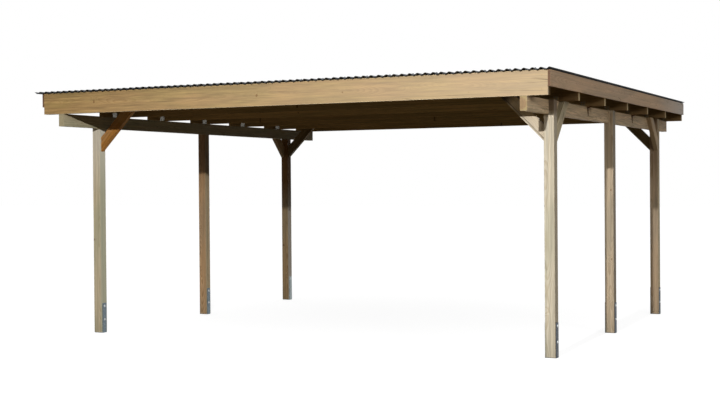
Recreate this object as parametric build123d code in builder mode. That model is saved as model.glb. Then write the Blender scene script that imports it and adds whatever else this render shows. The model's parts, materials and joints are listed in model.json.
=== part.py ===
from build123d import *
from math import cos, radians, sin
import os

os.makedirs("parts", exist_ok=True)

# ---------------------------------------------------------------- dimensions
# Millimetres. X to the right, Y to the rear, Z up, the floor at Z = 0.

post_size = 90.0
post_chamfer = 3.0
row_width = 4820.0
post_pitch = 1920.0

purlin_thk = 60.0
purlin_height = 120.0
purlin_half_length = 2535.0
purlin_bottom = 2060.0
tongue_thk = 45.0
lap_length = 120.0

rafter_thk = 45.0
rafter_height = 200.0
rafter_count = 7
roof_half = 2540.0

fascia_thk = 20.0
side_fascia_height = 130.0

brace_thk = 45.0
brace_width = 100.0
brace_foot = 1828.0
blocking_height = 145.0

wave_pitch = 71.2
wave_depth = 18.0
flank_angle = 40.0
bend_flats = 4
sheet_thk = 1.4
sheet_end_overhang = 35.0
sheet_left_overhang = 71.0
# Waves that each sheet covers, from the left eave to the right one.
sheet_cover = (16, 15, 15, 13, 14)
lap_waves = 1

anchor_width = 60.0
anchor_height = 300.0
anchor_thk = 6.0
bolt_hole_r = 6.5
bolt_heights = (135.0, 270.0)

bracket_width = 50.0
bracket_leg = 48.0
bracket_thk = 2.5
strap_wing = 50.0
strap_reach = 85.0
strap_tip = 18.0
strap_fold = 20.0
strap_thk = 2.0

# ---------------------------------------------------------------- derived
purlin_top = purlin_bottom + purlin_height
roof_top = purlin_top + rafter_height
post_out = row_width / 2
post_in = post_out - post_size
purlin_out = post_out - tongue_thk
purlin_in = purlin_out - purlin_thk

# The timber frame stands right of the middle of the roof sheets.
sheet_width = sum(sheet_cover) * wave_pitch
sheet_right_overhang = sheet_width - sheet_left_overhang - 2 * (roof_half + fascia_thk)
frame_x = (sheet_left_overhang - sheet_right_overhang) / 2

first_rafter = -roof_half + fascia_thk + rafter_thk / 2
last_rafter = roof_half - rafter_thk / 2
rafter_pitch = (last_rafter - first_rafter) / (rafter_count - 1)
rafter_rows = [first_rafter + rafter_pitch * i for i in range(rafter_count)]

sides = {"left": -1, "right": 1}
ends = {"front": -1, "rear": 1}
post_rows = {"front": -post_pitch, "middle": 0.0, "rear": post_pitch}


def elevation(y):
    """Plane that looks to the rear at depth y: X to the right, Y up."""
    return Plane(origin=(frame_x, y, 0), x_dir=(1, 0, 0), z_dir=(0, -1, 0))


def side_elevation(x):
    """Plane that looks to the left at x: X to the rear, Y up."""
    return Plane(origin=(frame_x + x, 0, 0), x_dir=(0, 1, 0), z_dir=(1, 0, 0))


# ---------------------------------------------------------------- posts
for side, sign in sides.items():
    for row, row_y in post_rows.items():
        with BuildPart() as post:
            with BuildSketch(elevation(row_y)):
                with BuildLine():
                    Polyline(
                        (sign * post_in, anchor_thk),
                        (sign * post_out, anchor_thk),
                        (sign * post_out, purlin_top),
                        (sign * purlin_out, purlin_top),
                        (sign * purlin_out, purlin_bottom),
                        (sign * post_in, purlin_bottom),
                        close=True,
                    )
                make_face()
            extrude(amount=post_size / 2, both=True)
            long_edges = post.edges().filter_by(Axis.Z).filter_by(lambda e: e.length > 300)
            chamfer(long_edges, length=post_chamfer)
            with BuildSketch(side_elevation(sign * post_out)):
                with Locations(*[(row_y, h) for h in bolt_heights]):
                    Circle(bolt_hole_r)
            extrude(amount=-sign * post_size, mode=Mode.SUBTRACT)
        post.part.label = f"post_{row}_{side}"
        export_step(post.part, f"parts/post_{row}_{side}.step")

# ---------------------------------------------------------------- post anchors
for side, sign in sides.items():
    for row, row_y in post_rows.items():
        with BuildPart() as anchor:
            with BuildSketch(elevation(row_y)):
                with BuildLine():
                    Polyline(
                        (sign * (post_in - anchor_thk), 0),
                        (sign * (post_out + anchor_thk), 0),
                        (sign * (post_out + anchor_thk), anchor_height),
                        (sign * post_out, anchor_height),
                        (sign * post_out, anchor_thk),
                        (sign * post_in, anchor_thk),
                        (sign * post_in, anchor_height),
                        (sign * (post_in - anchor_thk), anchor_height),
                        close=True,
                    )
                make_face()
            extrude(amount=anchor_width / 2, both=True)
            top_corners = anchor.edges().filter_by(Axis.X).group_by(Axis.Z)[-1]
            fillet(top_corners, radius=8)
            with BuildSketch(side_elevation(sign * (post_out + anchor_thk))):
                with Locations(*[(row_y, h) for h in bolt_heights]):
                    Circle(bolt_hole_r)
            extrude(amount=-sign * (post_size + 2 * anchor_thk), mode=Mode.SUBTRACT)
        anchor.part.label = f"post_anchor_{row}_{side}"
        export_step(anchor.part, f"parts/post_anchor_{row}_{side}.step")

# ---------------------------------------------------------------- purlins
# Each purlin is two lengths, halved into each other on top of the middle post.
purlin_mid = purlin_bottom + purlin_height / 2
for side, sign in sides.items():
    for end, toward in ends.items():
        lap_level = purlin_bottom if end == "front" else purlin_top
        with BuildPart() as purlin:
            with BuildSketch(side_elevation(sign * (purlin_in + purlin_thk / 2))):
                with BuildLine():
                    Polyline(
                        (toward * purlin_half_length, purlin_bottom),
                        (toward * purlin_half_length, purlin_top),
                        (toward * lap_length / 2, purlin_top),
                        (toward * lap_length / 2, purlin_bottom),
                        close=True,
                    )
                make_face()
                with BuildLine():
                    Polyline(
                        (toward * lap_length / 2, lap_level),
                        (-toward * lap_length / 2, lap_level),
                        (-toward * lap_length / 2, purlin_mid),
                        (toward * lap_length / 2, purlin_mid),
                        close=True,
                    )
                make_face()
            extrude(amount=purlin_thk / 2, both=True)
        purlin.part.label = f"purlin_{side}_{end}"
        export_step(purlin.part, f"parts/purlin_{side}_{end}.step")

# ---------------------------------------------------------------- rafters
for number, row_y in enumerate(rafter_rows, start=1):
    with BuildPart() as rafter:
        with BuildSketch(elevation(row_y)):
            with Locations((0, purlin_top)):
                Rectangle(2 * roof_half, rafter_height, align=(Align.CENTER, Align.MIN))
        extrude(amount=rafter_thk / 2, both=True)
    rafter.part.label = f"rafter_{number}"
    export_step(rafter.part, f"parts/rafter_{number}.step")

# ---------------------------------------------------------------- fascia boards
with BuildPart() as front_fascia:
    with BuildSketch(elevation(-roof_half + fascia_thk)):
        with Locations((0, purlin_top)):
            Rectangle(2 * roof_half, rafter_height, align=(Align.CENTER, Align.MIN))
    extrude(amount=fascia_thk)
front_fascia.part.label = "front_fascia"
export_step(front_fascia.part, "parts/front_fascia.step")

for side, sign in sides.items():
    with BuildPart() as side_fascia:
        with BuildSketch(side_elevation(sign * (roof_half + fascia_thk / 2))):
            with Locations((0, roof_top)):
                Rectangle(2 * roof_half, side_fascia_height, align=(Align.CENTER, Align.MAX))
        extrude(amount=fascia_thk / 2, both=True)
    side_fascia.part.label = f"side_fascia_{side}"
    export_step(side_fascia.part, f"parts/side_fascia_{side}.step")

# ---------------------------------------------------------------- braces
# A brace leans at 45 degrees and is cut plumb at the post and level at its head.
brace_plumb = brace_width * 2**0.5
blocking_bottom = roof_top - blocking_height


def brace_outline(start, direction, head):
    """Corners of a brace that leaves a post face at start."""
    low_run = head - brace_foot
    high_run = low_run - brace_plumb
    return [
        (start, brace_foot),
        (start + direction * low_run, head),
        (start + direction * high_run, head),
        (start, brace_foot + brace_plumb),
    ]


for side, sign in sides.items():
    for end, toward in ends.items():
        row_y = toward * post_pitch
        with BuildPart() as cross_brace:
            with BuildSketch(elevation(row_y)):
                with BuildLine():
                    Polyline(*brace_outline(sign * post_in, -sign, blocking_bottom), close=True)
                make_face()
            extrude(amount=brace_thk / 2, both=True)
        cross_brace.part.label = f"cross_brace_{end}_{side}"
        export_step(cross_brace.part, f"parts/cross_brace_{end}_{side}.step")

        with BuildPart() as purlin_brace:
            with BuildSketch(side_elevation(sign * (purlin_out + brace_thk / 2))):
                with BuildLine():
                    face_y = row_y - toward * post_size / 2
                    Polyline(*brace_outline(face_y, -toward, purlin_top), close=True)
                make_face()
            extrude(amount=brace_thk / 2, both=True)
        purlin_brace.part.label = f"purlin_brace_{end}_{side}"
        export_step(purlin_brace.part, f"parts/purlin_brace_{end}_{side}.step")

# ---------------------------------------------------------------- blocking
# A short length between the two end rafters carries the head of each cross brace.
head_mid = post_in - (blocking_bottom - brace_foot) + brace_plumb / 2
blocking_span = rafter_pitch - rafter_thk
blocking_rows = [(a + b) / 2 for a, b in (rafter_rows[:2], rafter_rows[-2:])]
with BuildPart() as blocking:
    with Locations(*[(frame_x + s * head_mid, y, roof_top) for s in sides.values() for y in blocking_rows]):
        Box(
            rafter_thk,
            blocking_span,
            blocking_height,
            align=(Align.CENTER, Align.CENTER, Align.MAX),
        )
blocking.part.label = "blocking"
export_step(blocking.part, "parts/blocking.step")

# ---------------------------------------------------------------- rafter fixings
# Inside: an angle bracket on the purlin, against the front of each rafter.
for side, sign in sides.items():
    with BuildPart() as brackets:
        for row_y in rafter_rows[1:]:
            with BuildSketch(side_elevation(sign * (purlin_in + 10 + bracket_width / 2))):
                face_y = row_y - rafter_thk / 2
                with BuildLine():
                    Polyline(
                        (face_y, purlin_top),
                        (face_y, purlin_top + bracket_leg),
                        (face_y - bracket_thk, purlin_top + bracket_leg),
                        (face_y - bracket_thk, purlin_top + bracket_thk),
                        (face_y - bracket_leg, purlin_top + bracket_thk),
                        (face_y - bracket_leg, purlin_top),
                        close=True,
                    )
                make_face()
            extrude(amount=bracket_width / 2, both=True)
    brackets.part.label = f"angle_brackets_{side}"
    export_step(brackets.part, f"parts/angle_brackets_{side}.step")

# Outside: a folded strap from the purlin's face up the back of a rafter. Its fold
# stands in the corner between the two, and each wing runs out to a narrow tip.
strap_wing_outline = [
    (0, -strap_fold),
    (0, strap_fold),
    (strap_wing - strap_tip, strap_reach),
    (strap_wing, strap_reach),
    (strap_wing, 0),
]
for side, sign in sides.items():
    with BuildPart() as straps:
        for number in (3, 5):
            back_y = rafter_rows[number - 1] + rafter_thk / 2
            with BuildSketch(side_elevation(sign * purlin_out)):
                with BuildLine():
                    lower = [(back_y + run, purlin_top - rise) for run, rise in strap_wing_outline]
                    Polyline(*lower, close=True)
                make_face()
            extrude(amount=sign * strap_thk)
            with BuildSketch(elevation(back_y)):
                with BuildLine():
                    upper = [
                        (sign * (purlin_out + run), purlin_top + rise)
                        for run, rise in strap_wing_outline
                    ]
                    Polyline(*upper, close=True)
                make_face()
            extrude(amount=-strap_thk)
    straps.part.label = f"rafter_straps_{side}"
    export_step(straps.part, f"parts/rafter_straps_{side}.step")

# ---------------------------------------------------------------- roof sheets
# Crests and valleys are bends of one radius, joined by straight flanks. The radius
# and the flank follow from the pitch, the depth and the slope of the flank. Each
# bend is set out in short flats that meet on its arc.
flank_sin = sin(radians(flank_angle))
flank_cos = cos(radians(flank_angle))
wave_radius = (wave_pitch / 2 * flank_sin - wave_depth * flank_cos) / (2 * (1 - flank_cos))
flank_length = (wave_depth - 2 * wave_radius * (1 - flank_cos)) / flank_sin
flat_turn = 2 * flank_angle / bend_flats
flat_length = 2 * wave_radius * sin(radians(flat_turn / 2))


def corrugation(start_x, crest, waves):
    """Corners of the sheet's underside, from crest to crest."""
    half_bend = [flat_turn * (k + 0.5) for k in range(bend_flats // 2)]
    down = [(-slope, flat_length) for slope in half_bend] + [(-flank_angle, flank_length)]
    up = [(-slope, length) for slope, length in down]
    wave = down + down[-2::-1] + up[:-1] + up[::-1]
    corners = [Vector(start_x, crest)]
    for slope, length in wave * waves:
        step = Vector(cos(radians(slope)), sin(radians(slope)))
        corners.append(corners[-1] + step * length)
    return corners


# One wave laps over the next sheet, and every second sheet lies on its neighbours
# by one thickness, so that the laps nest.
first_wave = 0
for index, cover in enumerate(sheet_cover, start=1):
    waves = cover if index == len(sheet_cover) else cover + lap_waves
    lift = 0.0 if index % 2 else sheet_thk
    left_edge = -(roof_half + fascia_thk) - sheet_left_overhang + first_wave * wave_pitch
    underside = corrugation(left_edge, roof_top + wave_depth + lift, waves)
    upper_side = [corner + Vector(0, sheet_thk) for corner in underside]
    with BuildPart() as sheet:
        with BuildSketch(elevation(0)):
            with BuildLine():
                Polyline(*underside, *reversed(upper_side), close=True)
            make_face()
        extrude(amount=roof_half + sheet_end_overhang, both=True)
    sheet.part.label = f"roof_sheet_{index}"
    export_step(sheet.part, f"parts/roof_sheet_{index}.step")
    first_wave += cover
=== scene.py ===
"""An open double carport in pressure-treated spruce, dressed over its solid model.

Six posts stand in steel anchors and carry two purlins, seven rafters, the fascia
boards and a roof of corrugated sheets. The solid model holds every timber, anchor,
bracket and sheet. This script gives them their finishes and adds the bolts, screws
and nails that hold them.
"""

from __future__ import annotations

import json
import logging
import math
import random
from collections.abc import Iterable
from dataclasses import dataclass, replace
from enum import Enum
from functools import partial

import bmesh
import bpy
from mathutils import Euler, Matrix, Vector

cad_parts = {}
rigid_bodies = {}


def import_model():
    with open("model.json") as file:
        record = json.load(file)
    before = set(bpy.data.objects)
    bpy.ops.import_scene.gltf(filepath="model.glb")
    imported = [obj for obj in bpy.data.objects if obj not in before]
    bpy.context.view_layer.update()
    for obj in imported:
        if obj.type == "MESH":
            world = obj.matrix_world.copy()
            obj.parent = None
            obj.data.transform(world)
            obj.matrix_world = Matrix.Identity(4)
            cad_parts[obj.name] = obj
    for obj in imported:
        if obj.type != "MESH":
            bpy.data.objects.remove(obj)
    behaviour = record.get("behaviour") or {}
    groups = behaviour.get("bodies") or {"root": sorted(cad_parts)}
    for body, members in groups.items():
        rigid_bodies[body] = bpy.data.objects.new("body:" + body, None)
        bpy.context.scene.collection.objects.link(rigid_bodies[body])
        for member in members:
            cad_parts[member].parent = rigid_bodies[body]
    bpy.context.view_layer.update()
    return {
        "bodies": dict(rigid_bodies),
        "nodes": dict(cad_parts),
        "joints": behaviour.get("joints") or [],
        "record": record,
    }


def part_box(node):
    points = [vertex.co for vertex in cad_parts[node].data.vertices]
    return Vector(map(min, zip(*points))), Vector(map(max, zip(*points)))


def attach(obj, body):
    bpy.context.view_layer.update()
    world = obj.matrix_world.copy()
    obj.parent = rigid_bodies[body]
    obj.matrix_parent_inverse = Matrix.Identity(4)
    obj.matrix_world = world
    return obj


LOG = logging.getLogger("carport")
MM = 0.001
RAFTER_COUNT = 7
# A Mix node blends colours when these are set: inputs 6 and 7 are mixed into output 2.
TINT = {"out": 2, "data_type": "RGBA"}

# Pairs of distances in metres, which set out a group of screws or nails.
Spots = tuple[tuple[float, float], ...]


# ------------------------------------------------------------------ shared helpers
def linear(code: str) -> tuple[float, float, float, float]:
    """Turns an sRGB hex colour into a linear one.

    Args:
        code: Colour as "#RRGGBB".

    Returns:
        Red, green, blue and alpha in linear light.
    """
    parts = [int(code[i : i + 2], 16) / 255 for i in (1, 3, 5)]
    red, green, blue = (
        part / 12.92 if part <= 0.04045 else ((part + 0.055) / 1.055) ** 2.4 for part in parts
    )
    return red, green, blue, 1.0


def add_node(
    tree: bpy.types.NodeTree,
    kind: str,
    inputs: dict[int | str, object] | None = None,
    out: int | str = 0,
    **settings: object,
) -> bpy.types.NodeSocket | None:
    """Adds a shader node with its settings and links.

    Args:
        tree: Node tree that receives the node.
        kind: Type of node, without the leading "ShaderNode".
        inputs: Values, or sockets to link, by the input's name or number.
        out: Output that is handed back.
        **settings: Properties of the node.

    Returns:
        The chosen output socket, or nothing where the node has none.
    """
    node = tree.nodes.new(f"ShaderNode{kind}")
    for name, value in settings.items():
        setattr(node, name, value)
    for key, value in (inputs or {}).items():
        if isinstance(value, bpy.types.NodeSocket):
            tree.links.new(value, node.inputs[key])
        else:
            node.inputs[key].default_value = value
    return node.outputs[out] if node.outputs else None


def new_material(name: str) -> tuple[bpy.types.Material, bpy.types.NodeTree]:
    """Makes a material with an empty node tree.

    Args:
        name: Name of the finish.

    Returns:
        The material and its node tree.
    """
    material = bpy.data.materials.new(name)
    material.use_nodes = True
    material.node_tree.nodes.clear()
    return material, material.node_tree


def close_tree(tree: bpy.types.NodeTree, shader: dict[int | str, object]) -> None:
    """Ends a node tree with a principled shader and the material's output.

    Args:
        tree: Node tree of the finish.
        shader: Values and sockets of the principled shader.
    """
    surface = add_node(tree, "BsdfPrincipled", shader)
    add_node(tree, "OutputMaterial", {"Surface": surface})


def finish_node(piece: bpy.types.Object, material: bpy.types.Material) -> None:
    """Gives a solid of the frame its finish, in each of its material slots."""
    for slot in piece.material_slots:
        slot.material = material


# ------------------------------------------------------------------ timber finishes
CHECK_BROWN = "#35271A"
HEARTWOOD_BROWN = "#7E5F42"
SPLASH_GREY = "#6E6650"
KNOT_SPACING = 150 * MM
PITH_WANDER = 55 * MM


class Grain(Enum):
    """Way that a timber's fibres run, as the turn in degrees that tips upright fibres."""

    UPRIGHT = (0.0, 0.0, 0.0)
    ACROSS = (0.0, 90.0, 0.0)
    DEEP = (-90.0, 0.0, 0.0)
    LEAN_RIGHT = (0.0, 45.0, 0.0)
    LEAN_LEFT = (0.0, -45.0, 0.0)
    LEAN_REAR = (-45.0, 0.0, 0.0)
    LEAN_FRONT = (45.0, 0.0, 0.0)

    @property
    def turn(self) -> Euler:
        """The turn that tips upright fibres into this direction."""
        return Euler([math.radians(angle) for angle in self.value])


@dataclass(frozen=True)
class Timber:
    """Planed spruce, pressure-treated with a copper salt.

    The growth rings show as pale and darker bands that bend round the knots, the salt
    leaves grey-green and brown patches in the sapwood, and drying opens fine checks.
    Rings of spruce are 2 to 4 mm wide. They are drawn wider, so that they show.

    Attributes:
        name: Name of the finish.
        early: Colour of the spring wood.
        late: Colour of the summer wood.
        salt: Colour of the salt patches.
        knot: Colour of a knot's eye.
        rim: Colour of its rim.
        end: Colour of the sawn ends, and of the arrises' wear and painted highlight.
        ring: Width of a growth ring, in millimetres.
        heart: Distance from the pith to the middle of the timber, in millimetres.
        contrast: Share of the summer wood's colour at the end of a ring.
        salt_share: Share of the salt's colour in its patches.
        knot_size: Size of a knot, as a share of the distance between knots.
        rough: Roughness.
        worn: Share of the end colour on the arrises, partly wear and partly painted highlight.
        fuzz: Roughness of the scattered light, which flattens the shading.
        gloss: Level of the sheen.
        fleck: Strength of the resin streaks.
        spread: Spread of tone among the pieces.
        core: Share of brown heartwood on the sawn ends.
        right_face_shading: Painted light and shade of the face that looks right, if it differs.
        far_end_light_and_tone: Colour towards the far end of the fibres, if it differs.
            Mostly it is painted light and shade.
        fade: Where that change starts and ends, in metres from the middle, and its share.
        split: Place of one long split on the wide face, in metres from its middle line.
        splash: Share of splashed dirt near the ground.
    """

    name: str
    early: str
    late: str
    salt: str
    knot: str = "#6B4426"
    rim: str = "#4E3420"
    end: str = "#CDBB97"
    ring: float = 8.0
    heart: float = 30.0
    contrast: float = 0.45
    salt_share: float = 0.45
    knot_size: float = 0.085
    rough: float = 0.6
    worn: float = 0.12
    fuzz: float = 0.5
    gloss: float = 0.12
    fleck: float = 0.0
    spread: float = 0.08
    core: float = 0.0
    right_face_shading: str | None = None
    far_end_light_and_tone: str | None = None
    fade: tuple[float, float, float] = (-2.4, 2.4, 0.6)
    split: float | None = None
    splash: float = 0.0


class TimberFinish:
    """The finish of one length of timber, drawn step by step."""

    def __init__(
        self, timber: Timber, piece: str, centre: Vector, half: tuple[float, float], grain: Grain
    ) -> None:
        """Picks the tree that the timber was sawn from, and lays out its fibres.

        Args:
            timber: Kind of timber.
            piece: Name of the timber; it also picks the tree.
            centre: Middle of the timber, in metres.
            half: Half sizes of its section, across the fibres, in metres.
            grain: Way that its fibres run.
        """
        chance = random.Random(piece)
        self.timber, self.half, self.grain = timber, half, grain
        self.seed = chance.uniform(0, 40)
        side = chance.choice((-1, 1))
        self.thin, self.wide = (0, 1) if half[0] < half[1] else (1, 0)
        # The pith lies off one wide face, somewhere near the middle of its width.
        self.pith = [0.0, 0.0]
        self.pith[self.thin] = side * timber.heart * MM
        self.pith[self.wide] = chance.uniform(-0.45, 0.45) * half[self.wide]
        self.tone = 1 + chance.uniform(-timber.spread, timber.spread)
        self.material, self.tree = new_material(f"{timber.name}_{piece}")
        self.add = partial(add_node, self.tree)
        self.coords = self.add("TexCoord").node.outputs
        self.place = self.add(
            "Mapping",
            {"Vector": self.coords["Object"], "Location": centre, "Rotation": grain.turn},
            vector_type="TEXTURE",
        )
        *self.across, self.along = self.add("SeparateXYZ", {0: self.place}).node.outputs

    def build(self) -> bpy.types.Material:
        """Draws the whole finish.

        Returns:
            The material.
        """
        self._lay_rings()
        self._lay_figure()
        colour = self._paint_light_and_tone(self._body())
        colour = self._draw_knots(colour)
        colour = self._draw_checks(colour)
        colour = self._draw_ends(colour)
        colour = self._draw_splash(colour)
        self._close(colour)
        return self.material

    def _lay_rings(self) -> None:
        """Sets out the pith, the knots, and the rings that bend round them."""
        add = self.add
        # The pith wanders to either side along the log, which draws the long flames.
        station = add("Math", {0: self.along, 1: self.seed}, operation="ADD")
        wander = add(
            "TexNoise",
            {"W": station, "Scale": 0.9, "Detail": 2.0},
            out="Color",
            noise_dimensions="1D",
        )
        span = 2 * PITH_WANDER
        start = [-distance - PITH_WANDER for distance in self.pith]
        drift = add(
            "VectorMath",
            {0: wander, 1: (span, span, 0.0), 2: (*start, 0.0)},
            operation="MULTIPLY_ADD",
        )
        flat = add("VectorMath", {0: self.place, 1: (1.0, 1.0, 0.0)}, operation="MULTIPLY")
        spoke = add("VectorMath", {0: flat, 1: drift}, operation="ADD")
        self.radius = add("VectorMath", {0: spoke}, out="Value", operation="LENGTH")

        # A knot is a branch that leaves the pith, so it is set out by its direction
        # round the pith and its height, in shares of the distance between knots.
        level = add("Math", {0: station, 1: 1 / KNOT_SPACING}, operation="MULTIPLY")
        level = add("CombineXYZ", {2: level})
        aim = add("VectorMath", {0: spoke}, operation="NORMALIZE")
        reach = (self.timber.heart * MM + self.half[self.thin] * 0.6) / KNOT_SPACING
        branch = add("VectorMath", {0: aim, 1: [reach] * 3, 2: level}, operation="MULTIPLY_ADD")
        self.knot_gap = add("TexVoronoi", {"Vector": branch, "Scale": 1.0}, out="Distance")
        # The rings bulge by nearly two of their widths round a knot.
        swell = add(
            "MapRange",
            {
                "Value": self.knot_gap,
                "From Min": 0.38,
                "From Max": self.timber.knot_size,
                "To Max": 1.8,
            },
            interpolation_type="SMOOTHSTEP",
        )

        # They also waver, every 40 mm across the fibres and every 400 mm along them.
        wobble = add("VectorMath", {0: self.place, 1: (1.0, 1.0, 0.1)}, operation="MULTIPLY")
        self.wobble = add("TexNoise", {"Vector": wobble, "Scale": 24.0, "Detail": 2.0})
        ring = add(
            "Math", {0: self.radius, 1: 1000 / self.timber.ring, 2: swell}, operation="MULTIPLY_ADD"
        )
        ring = add("Math", {0: ring, 1: self.wobble}, operation="ADD")
        ring = add("Math", {0: ring}, operation="FRACT")
        summer = add(
            "MapRange",
            {"Value": ring, "From Min": 0.3, "From Max": 0.88},
            interpolation_type="SMOOTHSTEP",
        )
        stop = add("MapRange", {"Value": ring, "From Min": 1.0, "From Max": 0.93})
        self.summer = add("Math", {0: summer, 1: stop}, operation="MULTIPLY")

    def _lay_figure(self) -> None:
        """Sets out streaks and fibres along the timber, and the larger salt patches."""
        add = self.add
        # Streaks 13 mm wide and 800 mm long carry the figure of the board at a distance.
        # Near by the fibres do. They are drawn 2 mm wide, so that they show.
        long_way = add("VectorMath", {0: self.place, 1: (1.0, 1.0, 0.016)}, operation="MULTIPLY")
        self.streak = add(
            "TexNoise", {"Vector": long_way, "Scale": 75.0, "Detail": 4.0, "Roughness": 0.62}
        )
        self.fibre = add("TexNoise", {"Vector": long_way, "Scale": 520.0, "Detail": 1.0})
        # The salt took unevenly, in patches 150 mm wide and 700 mm long.
        patch = add("VectorMath", {0: self.place, 1: (1.0, 1.0, 0.22)}, operation="MULTIPLY")
        self.patch = add("TexNoise", {"Vector": patch, "Scale": 6.5, "Detail": 3.0}, out="Fac")

    def _body(self) -> bpy.types.NodeSocket:
        """Mixes the spring wood, the summer wood and the salt, and shades the streaks.

        Returns:
            Colour of the planed faces.
        """
        add, timber = self.add, self.timber
        share = add("Math", {0: self.summer, 1: timber.contrast}, operation="MULTIPLY")
        colour = add("Mix", {0: share, 6: linear(timber.early), 7: linear(timber.late)}, **TINT)
        salt = add(
            "MapRange",
            {"Value": self.patch, "From Min": 0.4, "From Max": 0.62, "To Max": timber.salt_share},
            interpolation_type="SMOOTHSTEP",
        )
        colour = add("Mix", {0: salt, 6: colour, 7: linear(timber.salt)}, **TINT)
        shade = add(
            "MapRange",
            {"Value": self.streak, "From Min": 0.3, "From Max": 0.7, "To Min": 0.78, "To Max": 1.2},
        )
        fine = add(
            "MapRange",
            {"Value": self.fibre, "From Min": 0.3, "From Max": 0.7, "To Min": 0.93, "To Max": 1.07},
        )
        shade = add("Math", {0: shade, 1: fine}, operation="MULTIPLY")
        shade = add("Math", {0: shade, 1: self.tone}, operation="MULTIPLY")

        # Resin streaks and torn fibres are dashes, some 17 mm wide and 280 mm long.
        if timber.fleck:
            dash = add("VectorMath", {0: self.place, 1: (1.0, 1.0, 0.06)}, operation="MULTIPLY")
            dash = add("TexNoise", {"Vector": dash, "Scale": 60.0, "Detail": 3.0})
            dash = add(
                "MapRange",
                {
                    "Value": dash,
                    "From Min": 0.28,
                    "From Max": 0.72,
                    "To Min": 1 - timber.fleck,
                    "To Max": 1 + timber.fleck,
                },
            )
            shade = add("Math", {0: shade, 1: dash}, operation="MULTIPLY")
        return add("Mix", {0: 1.0, 6: colour, 7: shade}, **TINT, blend_type="MULTIPLY")

    def _paint_light_and_tone(self, colour: bpy.types.NodeSocket) -> bpy.types.NodeSocket:
        """Gives the right face painted light and shade, and the far end a colour of its own.

        Args:
            colour: Colour so far.

        Returns:
            The new colour.
        """
        add, timber = self.add, self.timber
        # The face that looks right gets its own colour, which is painted light and shade:
        # paler where light from the right falls on it, darker where it lies in shade.
        if timber.right_face_shading:
            turned = add("SeparateXYZ", {0: self.coords["Normal"]}, out="X")
            share = add(
                "MapRange", {"Value": turned, "From Min": 0.5, "From Max": 0.8, "To Max": 0.65}
            )
            colour = add("Mix", {0: share, 6: colour, 7: linear(timber.right_face_shading)}, **TINT)

        # A length of timber may change its colour from one end to the other. On four posts,
        # the rafters and the front right cross brace this is painted shade where the roof's
        # shadow falls; on the front left cross brace it is painted fill light in that shadow,
        # and on the front board a painted sheen towards its right end.
        if timber.far_end_light_and_tone:
            start, stop, most = timber.fade
            share = add(
                "MapRange",
                {"Value": self.along, "From Min": start, "From Max": stop, "To Max": most},
            )
            colour = add("Mix", {0: share, 6: colour, 7: linear(timber.far_end_light_and_tone)}, **TINT)
        return colour

    def _draw_knots(self, colour: bpy.types.NodeSocket) -> bpy.types.NodeSocket:
        """Draws each knot as a brown eye with a darker rim.

        Args:
            colour: Colour so far.

        Returns:
            The new colour.
        """
        add, size = self.add, self.timber.knot_size
        # The edge of a knot fades over 4 mm.
        knot = add(
            "MapRange",
            {
                "Value": self.knot_gap,
                "From Min": size + 0.012,
                "From Max": size - 0.014,
                "To Max": 0.65,
            },
            interpolation_type="SMOOTHSTEP",
        )
        rim = add("MapRange", {"Value": self.knot_gap, "From Min": size - 0.04, "From Max": size})
        eye = add("Mix", {0: rim, 6: linear(self.timber.knot), 7: linear(self.timber.rim)}, **TINT)
        return add("Mix", {0: knot, 6: colour, 7: eye}, **TINT)

    def _draw_checks(self, colour: bpy.types.NodeSocket) -> bpy.types.NodeSocket:
        """Draws drying checks, thin dark lines along the fibres in places, and the split.

        Args:
            colour: Colour so far.

        Returns:
            The new colour.
        """
        add, split = self.add, self.timber.split
        check = add("VectorMath", {0: self.place, 1: (1.0, 1.0, 0.03)}, operation="MULTIPLY")
        check = add(
            "TexVoronoi",
            {"Vector": check, "Scale": 26.0},
            out="Distance",
            feature="DISTANCE_TO_EDGE",
        )
        check = add(
            "MapRange",
            {"Value": check, "From Min": 0.028, "From Max": 0.008},
            interpolation_type="SMOOTHSTEP",
        )
        gate = add("MapRange", {"Value": self.patch, "From Min": 0.54, "From Max": 0.62})
        self.check = add("Math", {0: check, 1: gate}, operation="MULTIPLY")

        # A long split is 2 to 3 mm wide. It is drawn 7 mm wide, so that it shows.
        if split is not None:
            line = add(
                "Math", {0: self.wobble, 1: 6 * MM, 2: split - 3 * MM}, operation="MULTIPLY_ADD"
            )
            away = add("Math", {0: self.across[self.wide], 1: line}, operation="SUBTRACT")
            away = add("Math", {0: away}, operation="ABSOLUTE")
            away = add("MapRange", {"Value": away, "From Min": 4.5 * MM, "From Max": 2.5 * MM})
            self.check = add("Math", {0: self.check, 1: away}, operation="MAXIMUM")
        share = add("Math", {0: self.check, 1: 0.55}, operation="MULTIPLY")
        return add("Mix", {0: share, 6: colour, 7: linear(CHECK_BROWN)}, **TINT)

    def _draw_ends(self, colour: bpy.types.NodeSocket) -> bpy.types.NodeSocket:
        """Draws the paler sawn ends with heartwood, and arrises of wear and painted highlight.

        Args:
            colour: Colour so far.

        Returns:
            The new colour.
        """
        add, timber = self.add, self.timber
        fibre_way = Vector((0.0, 0.0, 1.0))
        fibre_way.rotate(self.grain.turn)
        facing = add(
            "VectorMath",
            {0: self.coords["Normal"], 1: fibre_way},
            out="Value",
            operation="DOT_PRODUCT",
        )
        facing = add("Math", {0: facing}, operation="ABSOLUTE")
        sawn = add("MapRange", {"Value": facing, "From Min": 0.6, "From Max": 0.8, "To Max": 0.8})
        share = add("Math", {0: self.summer, 1: 0.35}, operation="MULTIPLY")
        end = add("Mix", {0: share, 6: linear(timber.end), 7: linear(timber.late)}, **TINT)
        # Heartwood takes no salt and stays brown, within some 50 mm of the pith.
        heartwood = add(
            "MapRange",
            {"Value": self.radius, "From Min": 0.058, "From Max": 0.046, "To Max": timber.core},
        )
        end = add("Mix", {0: heartwood, 6: end, 7: linear(HEARTWOOD_BROWN)}, **TINT)
        colour = add("Mix", {0: sawn, 6: colour, 7: end}, **TINT)
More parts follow.
